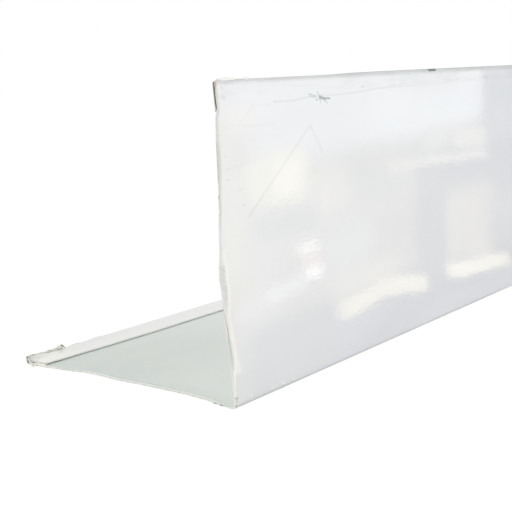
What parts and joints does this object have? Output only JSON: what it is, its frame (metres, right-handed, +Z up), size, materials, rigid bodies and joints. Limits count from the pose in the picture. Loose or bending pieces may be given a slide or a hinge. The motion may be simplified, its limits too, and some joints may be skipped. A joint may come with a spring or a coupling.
{
  "type": "angle flashing",
  "caption": "White pre-painted sheet steel folded to a right angle, with open safety hems turned inwards along the free edges, to cover roof and wall corners.",
  "frame": {"origin": "centre of the box around the part, at the underside of the lying leg", "axes": "+X along the length, from the hand-cut end to the square one; +Y from the heel towards the lying leg's free edge; +Z up the standing leg"},
  "size_m": [1, 0.1, 0.1],
  "materials": {
    "painted_sheet": "gloss"
  },
  "bodies": {
    "root": {"angle_flashing": "painted_sheet"}
  },
  "joints": []
}
